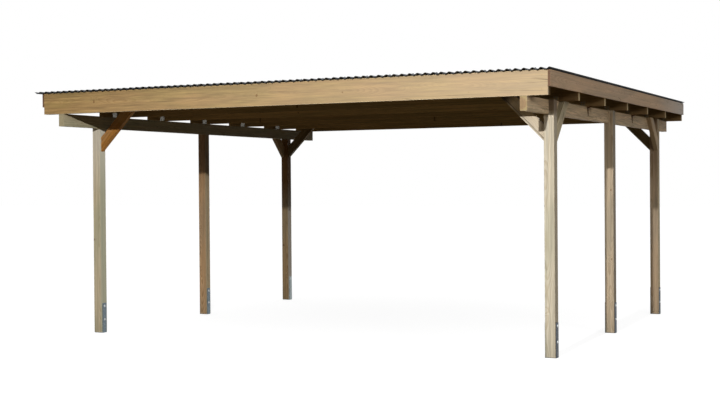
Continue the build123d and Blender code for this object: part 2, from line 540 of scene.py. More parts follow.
        # An arris takes the end colour over its outer 4 mm, which is partly rubbed wear
        # and partly a painted highlight.
        edges = []
        for distance, limit in zip(self.across, self.half, strict=True):
            inward = add("Math", {0: distance}, operation="ABSOLUTE")
            edges.append(add("Math", {0: limit, 1: inward}, operation="SUBTRACT"))
        arris = add("Math", dict(enumerate(edges)), operation="MAXIMUM")
        arris = add(
            "MapRange",
            {"Value": arris, "From Min": 4.5 * MM, "From Max": 1.0 * MM, "To Max": timber.worn},
            interpolation_type="SMOOTHSTEP",
        )
        return add("Mix", {0: arris, 6: colour, 7: linear(timber.end)}, **TINT)

    def _draw_splash(self, colour: bpy.types.NodeSocket) -> bpy.types.NodeSocket:
        """Darkens and greys the lowest 350 mm, where rain splashes.

        Args:
            colour: Colour so far.

        Returns:
            The new colour.
        """
        add = self.add
        if not self.timber.splash:
            return colour
        height = add("SeparateXYZ", {0: self.coords["Object"]}, out="Z")
        low = add(
            "MapRange",
            {"Value": height, "From Min": 0.38, "From Max": 0.03, "To Max": self.timber.splash},
        )
        wet = add("MapRange", {"Value": self.patch, "From Min": 0.3, "From Max": 0.6})
        low = add("Math", {0: low, 1: wet}, operation="MULTIPLY")
        return add("Mix", {0: low, 6: colour, 7: linear(SPLASH_GREY)}, **TINT)

    def _close(self, colour: bpy.types.NodeSocket) -> None:
        """Adds the relief and the roughness, and ends the node tree.

        Args:
            colour: Finished colour.
        """
        add, timber = self.add, self.timber
        # The spring wood is planed a little lower than the summer wood.
        relief = add("Math", {0: self.summer, 1: self.fibre}, operation="ADD")
        relief = add("Math", {0: self.check, 1: -2.5, 2: relief}, operation="MULTIPLY_ADD")
        bump = add("Bump", {"Strength": 0.35, "Distance": 0.5 * MM, "Height": relief})
        rough = add(
            "MapRange",
            {
                "Value": self.streak,
                "From Min": 0.3,
                "From Max": 0.7,
                "To Min": timber.rough - 0.07,
                "To Max": timber.rough + 0.1,
            },
        )
        close_tree(
            self.tree,
            {
                "Base Color": colour,
                "Roughness": rough,
                "Diffuse Roughness": timber.fuzz,
                "Specular IOR Level": timber.gloss,
                "Normal": bump,
            },
        )


# Each post's right face has its own colour, which is painted light and shade: paler on the left
# posts, where light from the right falls on it, darker on the right posts.
POST_FRONT_RIGHT = Timber(
    "post_spruce",
    "#D1C8B4",
    "#AE9B78",
    "#B6B39B",
    end="#D6C9A6",
    splash=0.35,
    right_face_shading="#988B76",
    # Painted shade: the head darkens where the roof's shadow falls on it.
    far_end_light_and_tone="#5E4425",
    fade=(0.94, 1.0, 0.8),
)
POST_MIDDLE_RIGHT = Timber(
    "post_spruce",
    "#DCC9AC",
    "#B09471",
    "#C2B79F",
    knot="#A5835F",
    rim="#8A6A4A",
    end="#D6C9A6",
    splash=0.35,
    right_face_shading="#554F47",
)
POST_REAR_RIGHT = Timber(
    "post_spruce",
    "#D5BD9D",
    "#A4825D",
    "#B9A992",
    end="#C7BA98",
    splash=0.35,
    right_face_shading="#B9B08C",
    # Painted shade: the head darkens where the roof's shadow falls on it.
    far_end_light_and_tone="#7A5E42",
    fade=(0.3, 0.6, 0.45),
)
POST_FRONT_LEFT = Timber(
    "post_spruce",
    "#BFB296",
    "#9A8461",
    "#A5A488",
    end="#C7BA98",
    splash=0.35,
    right_face_shading="#B2B59F",
    far_end_light_and_tone="#F0EADC",
    fade=(0.3, 0.95, 0.55),
)
POST_MIDDLE_LEFT = Timber(
    "post_spruce",
    "#C5A37B",
    "#97714B",
    "#AC9579",
    end="#C4B08A",
    splash=0.35,
    right_face_shading="#C6B998",
    # Painted shade: the head darkens where the roof's shadow falls on it.
    far_end_light_and_tone="#5B3A20",
    fade=(0.3, 0.7, 0.45),
    contrast=0.7,
    split=-0.006,
)
POST_REAR_LEFT = Timber(
    "post_spruce",
    "#B29670",
    "#886A43",
    "#9C8D71",
    end="#B8A582",
    splash=0.35,
    right_face_shading="#D2CFC6",
    # Painted shade: the head darkens where the roof's shadow falls on it.
    far_end_light_and_tone="#7A5529",
    fade=(0.2, 0.42, 0.92),
    contrast=0.65,
)
PURLIN_LEFT = Timber("purlin_spruce", "#A89D82", "#7E6F54", "#8F8E74", end="#A69B7C", heart=26.0)
PURLIN_RIGHT = Timber(
    "purlin_spruce", "#DDC39F", "#A88863", "#BDAC89", end="#97895F", heart=26.0, fleck=0.3, core=0.8
)
RAFTER = Timber(
    "rafter_spruce",
    "#C1A576",
    "#8E714C",
    "#978C63",
    end="#DCC9A0",
    heart=34.0,
    gloss=0.0,
    spread=0.25,
    # Painted shade: the rafters darken towards their right ends, under the side board.
    far_end_light_and_tone="#5C3A1C",
    fade=(2.2, 2.4, 0.6),
)
RAFTER_FRONT = replace(RAFTER, end="#4A3C2C", worn=0.0)
FRONT_BOARD = Timber(
    "fascia_spruce",
    "#AD8C5B",
    "#886739",
    "#A28B53",
    heart=44.0,
    ring=7.0,
    salt_share=0.6,
    knot_size=0.07,
    knot="#7A4E2C",
    fuzz=0.0,
    gloss=0.3,
    fleck=0.26,
    worn=0.55,
    # Painted sheen: the board turns paler and greyer towards its right end.
    far_end_light_and_tone="#B4A187",
)
SIDE_BOARD = Timber(
    "fascia_spruce",
    "#C1A382",
    "#947256",
    "#99866C",
    end="#48271A",
    heart=38.0,
    contrast=0.35,
    worn=0.03,
    far_end_light_and_tone="#C4BBB1",
    fade=(1.2, 2.5, 0.85),
)
BRACE_PALE = Timber("brace_spruce", "#C9BA99", "#9F8660", "#ADA383")
BRACE_LIGHT = Timber(
    "brace_spruce",
    "#DDD0BA",
    "#B79C7C",
    "#C4B9A2",
    # Painted shade: the head darkens where the roof's shadow falls on it.
    far_end_light_and_tone="#3E2F1F",
    fade=(0.15, 0.22, 0.9),
    split=0.015,
)
# The rear braces take darker copies of the brace spruce, which is painted shade where they stand in
# the roof's shade.
BRACE_HALF_SHADED = Timber("brace_spruce", "#BBA17E", "#8C7150", "#9A8A6C")
BRACE_SHADED = Timber("brace_spruce", "#8A754F", "#624D2D", "#6D6041")
BRACE_RED = Timber(
    # Painted fill light: the head, which lies in the roof's shadow, turns paler.
    "brace_spruce", "#C4863F", "#8E5A22", "#A87A3E", far_end_light_and_tone="#D2AE74", fade=(0.02, 0.12, 0.5)
)


# ------------------------------------------------------------------ other finishes
@dataclass(frozen=True)
class GalvanisedSteel:
    """Steel plate, hot-dip galvanised.

    The zinc has dulled to a blue grey, with a faint mosaic of crystals and patches of
    white bloom, 30 mm wide, where water has stood. A paler copy is drawn too, and a
    darker one on the anchors of the right row, which is painted shade.

    Attributes:
        name: Name of the finish.
        bright: Colour of the brightest crystals.
        dull: Colour of the dullest crystals.
        bloom: Colour of the white bloom.
        crystal: Width of a crystal, in millimetres.
    """

    name: str = "galvanised_steel"
    bright: str = "#8A969D"
    dull: str = "#637077"
    bloom: str = "#AEB4B4"
    crystal: float = 9.0

    def material(self) -> bpy.types.Material:
        """Builds the finish.

        Returns:
            The material.
        """
        material, tree = new_material(self.name)
        add = partial(add_node, tree)
        coords = add("TexCoord", out="Object")
        mosaic = add("TexVoronoi", {"Vector": coords, "Scale": 1000 / self.crystal}, out="Color")
        facet = add("SeparateColor", {0: mosaic})
        bloom = add("TexNoise", {"Vector": coords, "Scale": 32.0, "Detail": 4.0})
        share = add("Math", {0: facet, 1: 0.45, 2: 0.1}, operation="MULTIPLY_ADD")
        colour = add("Mix", {0: share, 6: linear(self.dull), 7: linear(self.bright)}, **TINT)
        white = add("MapRange", {"Value": bloom, "From Min": 0.56, "From Max": 0.74, "To Max": 0.5})
        colour = add("Mix", {0: white, 6: colour, 7: linear(self.bloom)}, **TINT)
        rough = add(
            "MapRange",
            {"Value": bloom, "From Min": 0.3, "From Max": 0.7, "To Min": 0.42, "To Max": 0.62},
        )
        bump = add("Bump", {"Strength": 0.2, "Distance": 0.1 * MM, "Height": bloom})
        close_tree(
            tree, {"Base Color": colour, "Metallic": 0.75, "Roughness": rough, "Normal": bump}
        )
        return material


@dataclass(frozen=True)
class CorrugatedVinyl:
    """PVC sheet, extruded in anthracite.

    It has a low satin gloss, with pale dust in the valleys, in runs 70 mm wide and
    700 mm long down the flutes, and duller spots half a metre wide.

    Attributes:
        name: Name of the finish.
        body: Colour of the sheet.
        dust: Colour of the dust.
        valley: Height of the valleys above the ground, in metres.
        crest: Height of the crests above the ground, in metres.
    """

    name: str = "corrugated_vinyl"
    body: str = "#21262B"
    dust: str = "#4E504E"
    valley: float = 2.382
    crest: float = 2.400

    def material(self) -> bpy.types.Material:
        """Builds the finish.

        Returns:
            The material.
        """
        material, tree = new_material(self.name)
        add = partial(add_node, tree)
        coords = add("TexCoord", out="Object")
        height = add("SeparateXYZ", {0: coords}, out="Z")
        low = add(
            "MapRange",
            {"Value": height, "From Min": self.crest, "From Max": self.valley},
            interpolation_type="SMOOTHSTEP",
        )
        runs = add("VectorMath", {0: coords, 1: (1.0, 0.1, 1.0)}, operation="MULTIPLY")
        runs = add("TexNoise", {"Vector": runs, "Scale": 14.0, "Detail": 5.0})
        spots = add("TexNoise", {"Vector": coords, "Scale": 2.2, "Detail": 4.0})
        dust = add(
            "MapRange",
            {"Value": runs, "From Min": 0.38, "From Max": 0.7, "To Min": 0.05, "To Max": 0.5},
        )
        low = add("Math", {0: low, 1: 0.75, 2: 0.25}, operation="MULTIPLY_ADD")
        dust = add("Math", {0: dust, 1: low}, operation="MULTIPLY")
        colour = add("Mix", {0: dust, 6: linear(self.body), 7: linear(self.dust)}, **TINT)
        rough = add(
            "MapRange",
            {"Value": spots, "From Min": 0.3, "From Max": 0.7, "To Min": 0.42, "To Max": 0.6},
        )
        close_tree(tree, {"Base Color": colour, "Roughness": rough, "Specular IOR Level": 0.12})
        return material


@dataclass(frozen=True)
class ScrewSteel:
    """Plated or stainless steel of screws, bolts, nails, brackets and straps.

    A grit breaks its sheen into paler and darker specks. The real one is fine, and it is
    drawn 4 mm wide, so that it shows. Thick plating and coating leave some of it with
    little of a metal's reflection. The dark brown of the straps and the right angle
    brackets, nearly without a metal's reflection, is painted shade.

    Attributes:
        name: Name of the finish.
        body: Colour of the plating.
        worn: Colour of the specks.
        metallic: Share of metal in the reflection.
        gloss: Level of the sheen.
    """

    name: str
    body: str
    worn: str
    metallic: float = 0.8
    gloss: float = 0.5

    def material(self) -> bpy.types.Material:
        """Builds the finish.

        Returns:
            The material.
        """
        material, tree = new_material(self.name)
        add = partial(add_node, tree)
        coords = add("TexCoord", out="Object")
        grit = add("TexNoise", {"Vector": coords, "Scale": 260.0, "Detail": 3.0})
        share = add("MapRange", {"Value": grit, "From Min": 0.35, "From Max": 0.65})
        colour = add("Mix", {0: share, 6: linear(self.body), 7: linear(self.worn)}, **TINT)
        rough = add(
            "MapRange",
            {"Value": grit, "From Min": 0.3, "From Max": 0.7, "To Min": 0.3, "To Max": 0.5},
        )
        close_tree(
            tree,
            {
                "Base Color": colour,
                "Metallic": self.metallic,
                "Roughness": rough,
                "Specular IOR Level": self.gloss,
            },
        )
        return material


# ------------------------------------------------------------------ fastener shapes
@dataclass(frozen=True)
class Puck:
    """A short cylinder or cone that stands on a face, with its sizes in millimetres.

    Attributes:
        radius: Radius at the bottom.
        low: Height of the bottom.
        high: Height of the top.
        sides: Number of sides.
        top: Radius at the top, if it differs.
        rim: Width of the rounding round the top.
        ledge: Width of the flat round a dish in the top.
        dish: Depth of that dish, if it has one.
    """

    radius: float
    low: float
    high: float
    sides: int
    top: float | None = None
    rim: float = 0.0
    ledge: float = 0.0
    dish: float = 0.0

    def add(self, whole: bmesh.types.BMesh, place: Matrix) -> None:
        """Adds the puck to a mesh.

        Args:
            whole: Mesh that receives it.
            place: Where it stands.
        """
        made = bmesh.ops.create_cone(
            whole,
            cap_ends=True,
            cap_tris=False,
            segments=self.sides,
            radius1=self.radius * MM,
            radius2=(self.radius if self.top is None else self.top) * MM,
            depth=(self.high - self.low) * MM,
            matrix=place @ Matrix.Translation((0, 0, (self.low + self.high) / 2 * MM)),
        )
        lid = max(
            {face for vert in made["verts"] for face in vert.link_faces},
            key=lambda face: (place.inverted() @ face.calc_center_median()).z,
        )
        if self.rim:
            bmesh.ops.bevel(
                whole,
                geom=list(lid.edges),
                offset=self.rim * MM,
                segments=4,
                profile=0.5,
                affect="EDGES",
                material=-1,
            )
        if self.dish:
            bmesh.ops.inset_region(whole, faces=[lid], thickness=self.ledge * MM)
            push = place.to_3x3() @ Vector((0, 0, -self.dish * MM))
            bmesh.ops.translate(whole, verts=list(lid.verts), vec=push)


class Head(Enum):
    """Kinds of fastener head, each as the pucks that make it."""

    # The low dome of an M12 bolt or of its sleeve nut.
    DOMED_BOLT = (Puck(13.0, 0.0, 5.0, sides=24, rim=4.4),)
    # A flat wood screw head, with its star recess as a small dish.
    SCREW = (Puck(5.2, -1.0, 0.5, sides=14, top=5.0, ledge=2.6, dish=0.9),)
    # The coned head of an anchor nail.
    NAIL = (Puck(4.2, -0.4, 1.3, sides=10, top=3.2),)
    # The rubber-edged washer dish of a sheet screw, under its small hexagon.
    SHEET_CAP = (Puck(11.0, -1.2, 1.2, sides=12, top=7.0), Puck(5.2, 1.2, 5.2, sides=6))


@dataclass(frozen=True)
class Seat:
    """Where a fastener head sits: its point on the face, and the way out of the face."""

    point: Vector
    outward: Vector

    @property
    def place(self) -> Matrix:
        """Matrix that carries a shape standing on XY onto this seat."""
        turn = self.outward.to_track_quat("Z", "Y").to_matrix().to_4x4()
        return Matrix.Translation(self.point) @ turn


@dataclass
class Fasteners:
    """A set of fastener heads that makes one piece.

    Attributes:
        name: Name of the piece.
        head: Kind of head.
        seats: Where the heads sit.
        finish: Their material.
        shank: Length of the M12 shank that fills the hole behind the head, in metres.
        shank_radius: Its radius, in millimetres.
    """

    name: str
    head: Head
    seats: list[Seat]
    finish: bpy.types.Material
    shank: float = 0.0
    shank_radius: float = 6.0

    def build(self) -> None:
        """Builds the set as one mesh, which rides on the carport."""
        pucks = list(self.head.value)
        if self.shank:
            pucks.insert(0, Puck(self.shank_radius, -self.shank / MM, 0.5, sides=12))
        whole = bmesh.new()
        for seat in self.seats:
            for puck in pucks:
                puck.add(whole, seat.place)
        bmesh.ops.recalc_face_normals(whole, faces=whole.faces)
        mesh = bpy.data.meshes.new(self.name)
        whole.to_mesh(mesh)
        whole.free()
        mesh.materials.append(self.finish)
        piece = bpy.data.objects.new(self.name, mesh)
        bpy.context.scene.collection.objects.link(piece)
        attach(piece, "root")
        LOG.info("%s: %d heads, %d faces", self.name, len(self.seats), len(mesh.polygons))


# ------------------------------------------------------------------ sub-assemblies
@dataclass
class Steelware:
    """The finishes that fasteners and plates share.

    Attributes:
        plate: Zinc of the front and middle left anchors.
        pale_plate: Zinc of the rear left anchor.
        shaded_plate: Darker zinc of the anchors of the right row, which is painted shade.
        bright: Plating of the left angle brackets.
        dull: Plating of the right angle brackets, drawn dark brown as painted shade.
        strap: Steel of the rafter straps, drawn dark brown as painted shade.
        bolt: Steel of the anchor bolts.
        screw: Steel of the screws and nails in the frame.
        board_screw: Steel of the screws in the fascia boards.
        cap: Coated steel of the sheet screws.
    """

    plate: bpy.types.Material
    pale_plate: bpy.types.Material
    shaded_plate: bpy.types.Material
    bright: bpy.types.Material
    dull: bpy.types.Material
    strap: bpy.types.Material
    bolt: bpy.types.Material
    screw: bpy.types.Material
    board_screw: bpy.types.Material
    cap: bpy.types.Material


def dress(
    frame: dict, node: str, finish: Timber, grain: Grain, half: tuple[float, float] | None = None
) -> None:
    """Gives one timber node its finish.

    Args:
        frame: Loaded frame.
        node: Name of the node.
        finish: Timber finish.
        grain: Way that its fibres run.
        half: Half sizes of its section in metres, where its box doesn't give them.
    """
    low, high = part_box(node)
    if half is None:
        size = (high - low) / 2
        size.rotate(grain.turn.to_matrix().inverted())
        half = (abs(size.x), abs(size.y))
    timber = TimberFinish(finish, node, (low + high) / 2, half, grain)
    finish_node(frame["nodes"][node], timber.build())


@dataclass
class Posts:
    """Six posts in U-shaped anchors, each held by two bolts at the given heights."""

    frame: dict
    steel: Steelware
    bolt_heights: tuple[float, float] = (0.135, 0.270)

    def dress(self) -> None:
        """Gives each post its own tone of treated spruce, with painted light and shade."""
        tones = {
            "front_right": POST_FRONT_RIGHT,
            "middle_right": POST_MIDDLE_RIGHT,
            "rear_right": POST_REAR_RIGHT,
            "front_left": POST_FRONT_LEFT,
            "middle_left": POST_MIDDLE_LEFT,
            "rear_left": POST_REAR_LEFT,
        }
        # The right row's anchors take the darker zinc, which is painted shade.
        plates = {
            "front_left": self.steel.plate,
            "middle_left": self.steel.plate,
            "rear_left": self.steel.pale_plate,
        }
        for place, tone in tones.items():
            dress(self.frame, f"post_{place}", tone, Grain.UPRIGHT)
            anchor = self.frame["nodes"][f"post_anchor_{place}"]
            finish_node(anchor, plates.get(place, self.steel.shaded_plate))
        LOG.info("posts: 6 posts and anchors dressed")

    def build(self) -> None:
        """Adds the bolts, which show a low dome on both sides of the anchor."""
        for row in ("front", "middle", "rear"):
            for side in ("left", "right"):
                low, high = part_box(f"post_anchor_{row}_{side}")
                depth = (low.y + high.y) / 2
                seats = [
                    Seat(Vector((face, depth, z)), Vector((way, 0, 0)))
                    for face, way in ((low.x, -1), (high.x, 1))
                    for z in self.bolt_heights
                ]
                Fasteners(
                    f"anchor_bolts_{row}_{side}",
                    Head.DOMED_BOLT,
                    seats,
                    self.steel.bolt,
                    shank=(high.x - low.x) / 2,
                ).build()


@dataclass
class Purlins:
    """Two purlins in halved lengths, screwed to the posts and the braces from inside.

    Attributes:
        frame: Loaded frame.
        steel: Finishes of the screws.
        post_rows: Where the rows of posts stand, from front to rear.
        post_screws: Each screw of a post: its way along the purlin, and its height in it.
        brace_screws: Each screw of a brace: its way along, and its height off the middle.
        brace_shift: How far the screws of a brace sit back from its middle line.
        brace_half: Half sizes of a brace's section.
    """

    frame: dict
    steel: Steelware
    post_rows: tuple[float, float, float] = (-1.92, 0.0, 1.92)
    post_screws: Spots = ((-0.028, 0.030), (-0.028, 0.072), (0.015, 0.05), (0.015, 0.092))
    brace_screws: Spots = ((0.0, -0.028), (0.042, 0.01), (-0.042, 0.004), (0.0, 0.036))
    brace_shift: float = 0.02
    brace_half: tuple[float, float] = (0.0225, 0.05)

    def dress(self) -> None:
        """Gives the purlins and their braces their finishes."""
        for side, tone in (("left", PURLIN_LEFT), ("right", PURLIN_RIGHT)):
            for end in ("front", "rear"):
                dress(self.frame, f"purlin_{side}_{end}", tone, Grain.DEEP)
                lean = Grain.LEAN_REAR if end == "front" else Grain.LEAN_FRONT
                dress(
                    self.frame,
                    f"purlin_brace_{end}_{side}",
                    BRACE_PALE if end == "front" else BRACE_HALF_SHADED,
                    lean,
                    self.brace_half,
                )
        LOG.info("purlins: 4 lengths and 4 braces dressed")

    def build(self) -> None:
        """Adds the staggered screws on the inner faces."""
        for side, sign in (("left", -1), ("right", 1)):
            low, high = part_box(f"purlin_{side}_front")
            face = high.x if sign < 0 else low.x
            inward = Vector((-sign, 0, 0))
            spots = []
            for row in self.post_rows:
                spots += [(row + step, low.z + rise) for step, rise in self.post_screws]
            for end, toward in (("front", -1), ("rear", 1)):
                brace_low, brace_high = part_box(f"purlin_brace_{end}_{side}")
                middle = (low.z + high.z) / 2
                slant = (brace_high.z - middle) - 0.5 * (brace_high.y - brace_low.y)
                centre = (brace_low.y + brace_high.y) / 2
                centre += toward * (slant - self.brace_shift)
                spots += [
                    (centre + toward * step, middle + rise) for step, rise in self.brace_screws
                ]
            seats = [Seat(Vector((face, y, z)), inward) for y, z in spots]
            Fasteners(f"purlin_screws_{side}", Head.SCREW, seats, self.steel.screw).build()


@dataclass
class Rafters:
    """Seven rafters with blocking, cross braces, angle brackets and straps.

    Attributes:
        frame: Loaded frame.
        steel: Finishes of the plates and nails.
        blocking_half: Half sizes of the blocking's section.
        brace_half: Half sizes of a cross brace's section.
        brace_screws: How far up a cross brace its two foot screws sit.
        bracket_steel: Thickness of an angle bracket.
        nail_shares: Where the nails of a bracket sit, as shares of its width.
        nail_reaches: How far from its bend they sit, on both legs.
        strapped: Rafters that have a strap.
        strap_steel: Thickness of a strap.
        strap_nails: Each nail of a strap: its way off the corner, and off the purlin's top.
    """

    frame: dict
    steel: Steelware
    blocking_half: tuple[float, float] = (0.0225, 0.0725)
    brace_half: tuple[float, float] = (0.05, 0.0225)
    brace_screws: tuple[float, float] = (0.035, 0.075)
    bracket_steel: float = 2.5 * MM
    nail_shares: tuple[float, float] = (0.28, 0.72)
    nail_reaches: tuple[float, float] = (0.018, 0.036)
    strapped: tuple[int, int] = (3, 5)
    strap_steel: float = 2.0 * MM
    strap_nails: Spots = ((0.026, 0.018), (0.034, 0.044), (0.040, 0.070))

    def dress(self) -> None:
        """Gives the rafters, blocking, braces and fixings their finishes."""
        for number in range(1, RAFTER_COUNT + 1):
            tone = RAFTER_FRONT if number == 1 else RAFTER
            dress(self.frame, f"rafter_{number}", tone, Grain.ACROSS)
        dress(self.frame, "blocking", RAFTER, Grain.DEEP, self.blocking_half)
        for side, lean in (("left", Grain.LEAN_RIGHT), ("right", Grain.LEAN_LEFT)):
            for end in ("front", "rear"):
                tone = {("left", "front"): BRACE_RED, ("right", "front"): BRACE_LIGHT}.get(
                    (side, end), BRACE_SHADED
                )
                dress(self.frame, f"cross_brace_{end}_{side}", tone, lean, self.brace_half)
            # The right angle brackets take a dark brown finish, which is painted shade.
            bracket = self.steel.bright if side == "left" else self.steel.dull
            finish_node(self.frame["nodes"][f"angle_brackets_{side}"], bracket)
            # The straps take a dark brown finish, which is painted shade.
            finish_node(self.frame["nodes"][f"rafter_straps_{side}"], self.steel.strap)
        LOG.info("rafters: %d rafters with blocking, braces and plates dressed", RAFTER_COUNT)

    def build(self) -> None:
        """Adds the nails of the brackets and straps, and the skew screws of the braces."""
        for side, sign in (("left", -1), ("right", 1)):
            bracket_low, bracket_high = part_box(f"angle_brackets_{side}")
            nails = []
            for number in range(2, RAFTER_COUNT + 1):
                rafter_low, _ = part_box(f"rafter_{number}")
                face = rafter_low.y - self.bracket_steel
                top = bracket_low.z + self.bracket_steel
                for share in self.nail_shares:
                    x = bracket_low.x + share * (bracket_high.x - bracket_low.x)
                    for reach in self.nail_reaches:
                        up = Vector((x, face, bracket_low.z + reach))
                        flat = Vector((x, rafter_low.y - reach, top))
                        nails.append(Seat(up, Vector((0, -1, 0))))
                        nails.append(Seat(flat, Vector((0, 0, 1))))
            purlin_low, purlin_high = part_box(f"purlin_{side}_front")
            outer = purlin_high.x if sign > 0 else purlin_low.x
            for number in self.strapped:
                _, rafter_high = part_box(f"rafter_{number}")
                for run, rise in self.strap_nails:
                    lower = Vector((outer, rafter_high.y, purlin_high.z))
                    upper = lower + Vector((sign * run, self.strap_steel, rise))
                    lower += Vector((sign * self.strap_steel, run, -rise))
                    nails.append(Seat(lower, Vector((sign, 0, 0))))
                    nails.append(Seat(upper, Vector((0, 1, 0))))
            Fasteners(f"bracket_nails_{side}", Head.NAIL, nails, self.steel.screw).build()
            self._brace_screws(side, sign)

    def _brace_screws(self, side: str, sign: int) -> None:
        """Adds the screws at the feet of the cross braces of one side.

        Args:
            side: Side of the carport.
            sign: -1 for the left side and 1 for the right one.
        """
        seats = []
        for end in ("front", "rear"):
            low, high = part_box(f"cross_brace_{end}_{side}")
            middle = (low.y + high.y) / 2
            foot = high.x if sign > 0 else low.x
            under = Vector((-sign, 0, -1)).normalized()
            for run in self.brace_screws:
                point = Vector((foot - sign * run, middle, low.z + run))
                seats.append(Seat(point, under))
        Fasteners(f"cross_brace_screws_{side}", Head.SCREW, seats, self.steel.screw).build()


@dataclass
class Fascia:
    """The front board and the two side boards, screwed into the rafters.

    Attributes:
        frame: Loaded frame.
        steel: Finishes of the screws.
        pitch: Widest gap between the screws of the front board.
        inset: How far the first of them sits from the board's end.
        edge: How far they sit from the board's edges.
        side_edges: The same for a side board, below and above.
    """

    frame: dict
    steel: Steelware
    pitch: float = 0.6
    inset: float = 0.05
    edge: float = 0.045
    side_edges: tuple[float, float] = (0.03, 0.035)

    def dress(self) -> None:
        """Gives the boards their finishes."""
        dress(self.frame, "front_fascia", FRONT_BOARD, Grain.ACROSS)
        for side in ("left", "right"):
            dress(self.frame, f"side_fascia_{side}", SIDE_BOARD, Grain.DEEP)
        LOG.info("fascia: 3 boards dressed")

    def build(self) -> None:
        """Adds the screws: pairs along the front board, and pairs at each rafter end."""
        low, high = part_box("front_fascia")
        length = high.x - low.x - 2 * self.inset
        gaps = round(length / self.pitch)
        seats = [
            Seat(Vector((low.x + self.inset + length / gaps * i, low.y, z)), Vector((0, -1, 0)))
            for i in range(gaps + 1)
            for z in (low.z + self.edge, high.z - self.edge)
        ]
        Fasteners("front_fascia_screws", Head.SCREW, seats, self.steel.board_screw).build()
        for side, sign in (("left", -1), ("right", 1)):
            low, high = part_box(f"side_fascia_{side}")
            face = high.x if sign > 0 else low.x
            seats = []
            for number in range(1, RAFTER_COUNT + 1):
                rafter_low, rafter_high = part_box(f"rafter_{number}")
                y = (rafter_low.y + rafter_high.y) / 2
                seats += [
                    Seat(Vector((face, y, z)), Vector((sign, 0, 0)))
                    for z in (low.z + self.side_edges[0], high.z - self.side_edges[1])
                ]
            Fasteners(
                f"side_fascia_screws_{side}", Head.SCREW, seats, self.steel.board_screw
            ).build()


@dataclass
class Roof:
    """Five corrugated sheets, screwed through every third crest at each rafter.

    Attributes:
        frame: Loaded frame.
        steel: Finishes of the screws.
        sheets: Number of sheets.
        wave: Pitch of the waves, in metres.
        every: Number of crests from one screw to the next.
        margin: Least distance of the first screw from the front board's end, in metres.
    """

    frame: dict
    steel: Steelware
    sheets: int = 5
    wave: float = 0.0712
    every: int = 3
    margin: float = 0.03

    def dress(self) -> None:
        """Gives the sheets their finish."""
        vinyl = CorrugatedVinyl().material()
        for number in range(1, self.sheets + 1):
            finish_node(self.frame["nodes"][f"roof_sheet_{number}"], vinyl)
        LOG.info("roof: %d sheets dressed", self.sheets)

    def build(self) -> None:
        """Adds the sheet screws along each rafter."""
        eave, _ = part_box("roof_sheet_1")
        _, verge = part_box(f"roof_sheet_{self.sheets}")
        tops = [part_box(f"roof_sheet_{number}") for number in range(1, self.sheets + 1)]
        waves = round((verge.x - eave.x) / self.wave)
        board_low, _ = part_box("front_fascia")
        first = math.ceil((board_low.x + self.margin - eave.x) / self.wave)
        seats = []
        for row in range(1, RAFTER_COUNT + 1):
            rafter_low, rafter_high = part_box(f"rafter_{row}")
            y = (rafter_low.y + rafter_high.y) / 2
            for crest in range(first, waves, self.every):
                x = eave.x + crest * self.wave
                z = max(high.z for low, high in tops if low.x - MM < x < high.x + MM)
                seats.append(Seat(Vector((x, y, z)), Vector((0, 0, 1))))
        Fasteners("sheet_screws", Head.SHEET_CAP, seats, self.steel.cap).build()


# ------------------------------------------------------------------ stage
WHITE = "#FFFFFF"


@dataclass(frozen=True)
class Window:
    """A soft bright part of the surround: the way to its middle, and its level."""

    aim: tuple[float, float, float]
    level: float


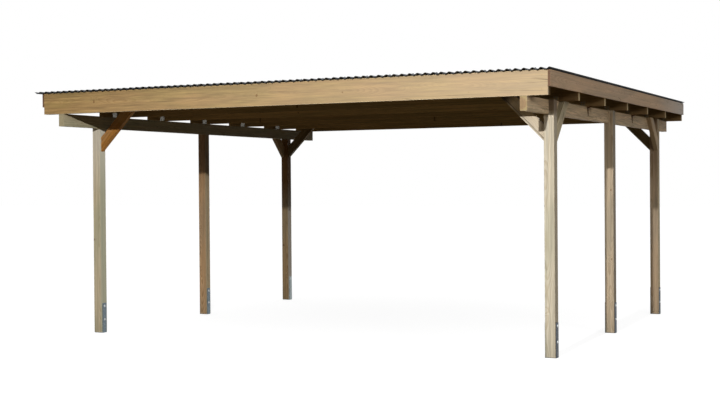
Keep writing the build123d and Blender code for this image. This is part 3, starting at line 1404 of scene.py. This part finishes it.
@dataclass
class Studio:
    """Pale floor, soft surround, one low key lamp, a soft side lamp and the camera.

    Attributes:
        key_spot: Where the key lamp hangs.
        key_power: Its power, in watts.
        key_radius: Its radius, which sets how soft its shadows are.
        side_spot: Where the soft lamp to the right hangs.
        side_aim: Point that it looks at.
        side_power: Its power, in watts.
        side_size: Width of its square.
        windows: Soft bright parts of the surround.
        window_edge: Where a window fades in and is full, as the cosine off its middle.
        sky: Level of the surround away from the windows.
        skyline: Level of the surround near the ground.
        sky_rise: Heights between which the surround grows from one to the other.
        floor_size: Half width of the floor.
        floor_bounce: Colour of the floor, as it lights the carport.
        floor_shown: Colour of the floor, as it shows and takes the shadow.
        floor_glow: Level that makes it show near white.
        lens: Focal length of the camera, in millimetres.
        eye: Where the camera stands.
        yaw: Its turn to the left, in degrees.
        pitch: Its tilt up, in degrees.
        roll: Its roll, in degrees.
        shift: Shift of its lens, as a share of the picture's width.
        sight: How far it sees.
    """

    key_spot: tuple[float, float, float] = (2.71, -8.56, 3.55)
    key_power: float = 1650.0
    key_radius: float = 0.045
    side_spot: tuple[float, float, float] = (10.6, -7.7, 4.3)
    side_aim: tuple[float, float, float] = (2.4, -1.0, 1.3)
    side_power: float = 180.0
    side_size: float = 2.0
    windows: tuple[Window, ...] = (Window((0.3, -0.7, 0.62), 0.7), Window((-0.3, 0.7, 0.6), 0.6))
    window_edge: tuple[float, float] = (0.4, 0.9)
    sky: float = 0.14
    skyline: float = 0.015
    sky_rise: tuple[float, float] = (0.12, 0.5)
    floor_size: float = 60.0
    floor_bounce: str = "#615542"
    floor_shown: str = "#999999"
    floor_glow: float = 0.86
    lens: float = 62.65
    eye: tuple[float, float, float] = (5.6075, -12.1392, 1.4853)
    yaw: float = 26.21
    pitch: float = -0.547
    roll: float = 0.443
    shift: tuple[float, float] = (0.0034, -0.0097)
    sight: float = 200.0

    def build(self) -> None:
        """Builds the whole stage."""
        self._floor()
        self._surround()
        self._key()
        self._camera()
        scene = bpy.context.scene
        scene.view_settings.view_transform = "Standard"
        LOG.info("stage: floor, surround, two lamps and camera")

    @staticmethod
    def _seen(tree: bpy.types.NodeTree) -> bpy.types.NodeSocket:
        """Adds the test for what the camera sees, straight or by reflection.

        Args:
            tree: Node tree of the floor or the surround.

        Returns:
            Socket that is 1 where it is seen and 0 where it only lights the carport.
        """
        add = partial(add_node, tree)
        ray = add("LightPath").node.outputs
        seen = add("Math", {0: ray["Is Camera Ray"], 1: ray["Is Glossy Ray"]}, operation="MAXIMUM")
        return add("Math", {0: seen, 1: ray["Is Transmission Ray"]}, operation="MAXIMUM")

    def _floor(self) -> None:
        """Lays the pale floor, which shows near white and keeps the shadow."""
        whole = bmesh.new()
        bmesh.ops.create_grid(whole, x_segments=1, y_segments=1, size=self.floor_size)
        mesh = bpy.data.meshes.new("floor")
        whole.to_mesh(mesh)
        whole.free()
        floor = bpy.data.objects.new("floor", mesh)
        bpy.context.scene.collection.objects.link(floor)
        material, tree = new_material("pale_floor")
        add = partial(add_node, tree)
        dark = add("BsdfDiffuse", {"Color": linear(self.floor_bounce)})
        pale = add("BsdfDiffuse", {"Color": linear(self.floor_shown)})
        glow = add("Emission", {"Color": linear(WHITE), "Strength": self.floor_glow})
        pale = add("AddShader", {0: pale, 1: glow})
        mixed = add("MixShader", {0: self._seen(tree), 1: dark, 2: pale})
        add("OutputMaterial", {"Surface": mixed})
        mesh.materials.append(material)

    def _surround(self) -> None:
        """Sets a soft even surround, which shows as white."""
        world = bpy.data.worlds.new("surround")
        world.use_nodes = True
        tree = world.node_tree
        tree.nodes.clear()
        add = partial(add_node, tree)
        way = add("TexCoord", out="Generated")
        rise = add("SeparateXYZ", {0: way}, out="Z")
        start, stop = self.sky_rise
        above = add("MapRange", {"Value": rise, "From Min": start, "From Max": stop})
        level = self.sky
        start, stop = self.window_edge
        for window in self.windows:
            toward = add(
                "VectorMath",
                {0: way, 1: Vector(window.aim).normalized()},
                out="Value",
                operation="DOT_PRODUCT",
            )
            glow = add(
                "MapRange",
                {"Value": toward, "From Min": start, "From Max": stop, "To Max": window.level},
                interpolation_type="SMOOTHSTEP",
            )
            level = add("Math", {0: glow, 1: level}, operation="ADD")
        level = add("Math", {0: level, 1: above, 2: self.skyline}, operation="MULTIPLY_ADD")
        level = add("Mix", {0: self._seen(tree), 2: level, 3: 1.0})
        light = add("Background", {"Color": linear(WHITE), "Strength": level})
        add("OutputWorld", {"Surface": light})
        bpy.context.scene.world = world

    def _key(self) -> None:
        """Hangs the key lamp in front, and a large soft lamp to the right."""
        lamp = bpy.data.lights.new("key", "POINT")
        lamp.energy = self.key_power
        lamp.shadow_soft_size = self.key_radius
        key = bpy.data.objects.new("key", lamp)
        key.location = self.key_spot
        bpy.context.scene.collection.objects.link(key)

        lamp = bpy.data.lights.new("side", "AREA")
        lamp.energy = self.side_power
        lamp.size = self.side_size
        side = bpy.data.objects.new("side", lamp)
        side.location = self.side_spot
        aim = Vector(self.side_aim) - Vector(self.side_spot)
        side.rotation_euler = aim.to_track_quat("-Z", "Y").to_euler()
        bpy.context.scene.collection.objects.link(side)

    def _camera(self) -> None:
        """Stands the camera to the right of the front, at eye height."""
        data = bpy.data.cameras.new("camera")
        data.lens = self.lens
        data.shift_x, data.shift_y = self.shift
        data.clip_end = self.sight
        camera = bpy.data.objects.new("camera", data)
        turn = (
            Matrix.Rotation(math.radians(self.yaw), 4, "Z")
            @ Matrix.Rotation(math.radians(90 + self.pitch), 4, "X")
            @ Matrix.Rotation(math.radians(-self.roll), 4, "Z")
        )
        camera.matrix_world = Matrix.Translation(self.eye) @ turn
        bpy.context.scene.collection.objects.link(camera)
        bpy.context.scene.camera = camera


def clear_scene() -> None:
    """Empties the start-up scene."""
    for item in list(bpy.data.objects):
        bpy.data.objects.remove(item)


def main() -> None:
    """Loads the solid model, dresses it and sets the stage."""
    logging.basicConfig(level=logging.INFO, format="%(name)s: %(message)s")
    clear_scene()
    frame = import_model()
    steel = Steelware(
        plate=GalvanisedSteel().material(),
        pale_plate=GalvanisedSteel("pale_zinc", "#A9B2B2", "#8A9494", "#D5DADA").material(),
        # The darker zinc of the right row's anchors is painted shade.
        shaded_plate=GalvanisedSteel("shaded_anchor_zinc", "#565C64", "#3C4148", "#7C8288").material(),
        bright=ScrewSteel("bright_zinc", "#ADAA9D", "#BFBDB4", metallic=0.4).material(),
        # The right brackets' dark brown is painted shade.
        dull=ScrewSteel("shaded_bracket_zinc", "#8A7452", "#98835F", metallic=0.1, gloss=0.0).material(),
        # The straps' dark brown is painted shade.
        strap=ScrewSteel("shaded_strap_steel", "#6F5640", "#866B50", metallic=0.0, gloss=0.0).material(),
        bolt=ScrewSteel("bolt_steel", "#B4B9BB", "#D4D7D7", metallic=0.5).material(),
        screw=ScrewSteel("screw_steel", "#5B5A55", "#84827B").material(),
        board_screw=ScrewSteel("yellow_zinc", "#8E7748", "#A68F5E", metallic=0.3).material(),
        cap=ScrewSteel("sheet_screw_cap", "#3A4149", "#565D63", metallic=0.2).material(),
    )
    for assembly in (
        Posts(frame, steel),
        Purlins(frame, steel),
        Rafters(frame, steel),
        Fascia(frame, steel),
        Roof(frame, steel),
    ):
        assembly.dress()
        assembly.build()
    Studio().build()


if __name__ == "__main__":
    main()
